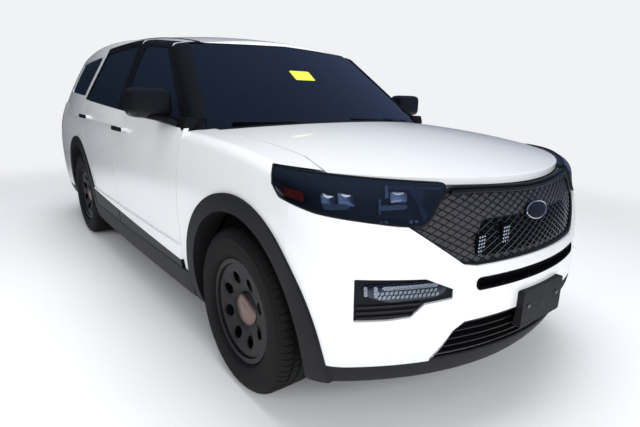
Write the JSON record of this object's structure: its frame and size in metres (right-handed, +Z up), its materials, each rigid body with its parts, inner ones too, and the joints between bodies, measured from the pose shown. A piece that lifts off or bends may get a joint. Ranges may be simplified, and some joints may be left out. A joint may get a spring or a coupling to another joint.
{
  "type": "police patrol car",
  "caption": "White five-door police utility vehicle with black trim, opening doors, bonnet and liftgate, steered front wheels.",
  "frame": {"origin": "on the ground, midway between nose and tail, on the centre plane", "axes": "+X forward, +Y to the car's left, +Z up"},
  "size_m": [5.0493, 2.266, 1.7812],
  "materials": {
    "paint": "white gloss paint",
    "gloss_black": "black gloss",
    "trim": "grained black plastic",
    "grille": "dark grey plastic",
    "glazing": "tinted glass",
    "headlamp": "clear lens over a dark housing",
    "tail_lamp": "red lens",
    "inner_steel": "dark primer",
    "engine": "cast and machined",
    "radiator": "finned",
    "chassis": "cast, painted black",
    "exhaust": "stainless",
    "tank": "moulded",
    "dash": "soft grained",
    "seat": "woven cloth",
    "tyre": "rubber",
    "wheel": "black enamel"
  },
  "bodies": {
    "body": {"arch_trim": "trim", "cowl": "trim", "dashboard": "dash", "door_pillars": "inner_steel", "driveline": "engine", "engine_block": "engine", "exhaust": "exhaust", "floor_pan": "inner_steel", "fog_lamps": "trim", "front_bumper": "paint", "front_frame": "inner_steel", "front_seats": "seat", "front_suspension": "chassis", "front_wings": "paint", "fuel_tank": "tank", "grille": "grille", "half_shafts": "engine", "headlamps": "headlamp", "plate_bracket": "trim", "quarter_glass": "glazing", "quarter_panels": "paint", "radiator": "radiator", "rear_bumper": "paint", "rear_seat": "seat", "rear_suspension": "chassis", "roof_panel": "paint", "roof_rails": "gloss_black", "sill_trim": "trim", "sills": "inner_steel", "steering_wheel": "dash", "tail_lamps": "tail_lamp", "valances": "trim", "wheel_liners": "trim", "windscreen": "glazing"},
    "knuckle_left": {"knuckle_left": "chassis"},
    "knuckle_right": {"knuckle_right": "chassis"},
    "front_door_l": {"front_door_left": "paint", "front_door_glass_left": "glazing", "door_mirror_left": "gloss_black"},
    "front_door_r": {"front_door_right": "paint", "front_door_glass_right": "glazing", "door_mirror_right": "gloss_black"},
    "rear_door_l": {"rear_door_left": "paint", "rear_door_glass_left": "glazing"},
    "rear_door_r": {"rear_door_right": "paint", "rear_door_glass_right": "glazing"},
    "bonnet": {"hood": "paint"},
    "tailgate": {"liftgate": "paint", "liftgate_glass": "glazing"},
    "wheel_front_left": {"tyre_front_left": "tyre", "rim_front_left": "wheel"},
    "wheel_front_right": {"tyre_front_right": "tyre", "rim_front_right": "wheel"},
    "wheel_rear_left": {"tyre_rear_left": "tyre", "rim_rear_left": "wheel"},
    "wheel_rear_right": {"tyre_rear_right": "tyre", "rim_rear_right": "wheel"}
  },
  "joints": [
    {"name": "steer_left", "type": "hinge", "parent": "body", "child": "knuckle_left", "pos_m": [1.6305, 0.76, 0.381], "axis": [0, 0, 1], "range_deg": [-34, 34]},
    {"name": "spin_front_left", "type": "hinge", "parent": "knuckle_left", "child": "wheel_front_left", "pos_m": [1.6305, 0.851, 0.381], "axis": [0, 1, 0], "continuous": true},
    {"name": "spin_rear_left", "type": "hinge", "parent": "body", "child": "wheel_rear_left", "pos_m": [-1.3945, 0.851, 0.381], "axis": [0, 1, 0], "continuous": true},
    {"name": "front_door_left_swing", "type": "hinge", "parent": "body", "child": "front_door_l", "pos_m": [1.005, 0.99, 0.8], "axis": [0, 0, -1], "range_deg": [0, 65]},
    {"name": "rear_door_left_swing", "type": "hinge", "parent": "body", "child": "rear_door_l", "pos_m": [-0.138, 0.998, 0.8], "axis": [0, 0, -1], "range_deg": [0, 68]},
    {"name": "steer_right", "type": "hinge", "parent": "body", "child": "knuckle_right", "pos_m": [1.6305, -0.76, 0.381], "axis": [0, 0, 1], "range_deg": [-34, 34]},
    {"name": "spin_front_right", "type": "hinge", "parent": "knuckle_right", "child": "wheel_front_right", "pos_m": [1.6305, -0.851, 0.381], "axis": [0, 1, 0], "continuous": true},
    {"name": "spin_rear_right", "type": "hinge", "parent": "body", "child": "wheel_rear_right", "pos_m": [-1.3945, -0.851, 0.381], "axis": [0, 1, 0], "continuous": true},
    {"name": "front_door_right_swing", "type": "hinge", "parent": "body", "child": "front_door_r", "pos_m": [1.005, -0.99, 0.8], "axis": [0, 0, 1], "range_deg": [0, 65]},
    {"name": "rear_door_right_swing", "type": "hinge", "parent": "body", "child": "rear_door_r", "pos_m": [-0.138, -0.998, 0.8], "axis": [0, 0, 1], "range_deg": [0, 68]},
    {"name": "bonnet_lift", "type": "hinge", "parent": "body", "child": "bonnet", "pos_m": [1.15, 0, 1.175], "axis": [0, -1, 0], "range_deg": [0, 50]},
    {"name": "tailgate_lift", "type": "hinge", "parent": "body", "child": "tailgate", "pos_m": [-2.058, 0, 1.702], "axis": [0, 1, 0], "range_deg": [0, 80]}
  ],
  "couplings": [
    {"joint": "steer_right", "follows": "steer_left", "ratio": 1}
  ]
}
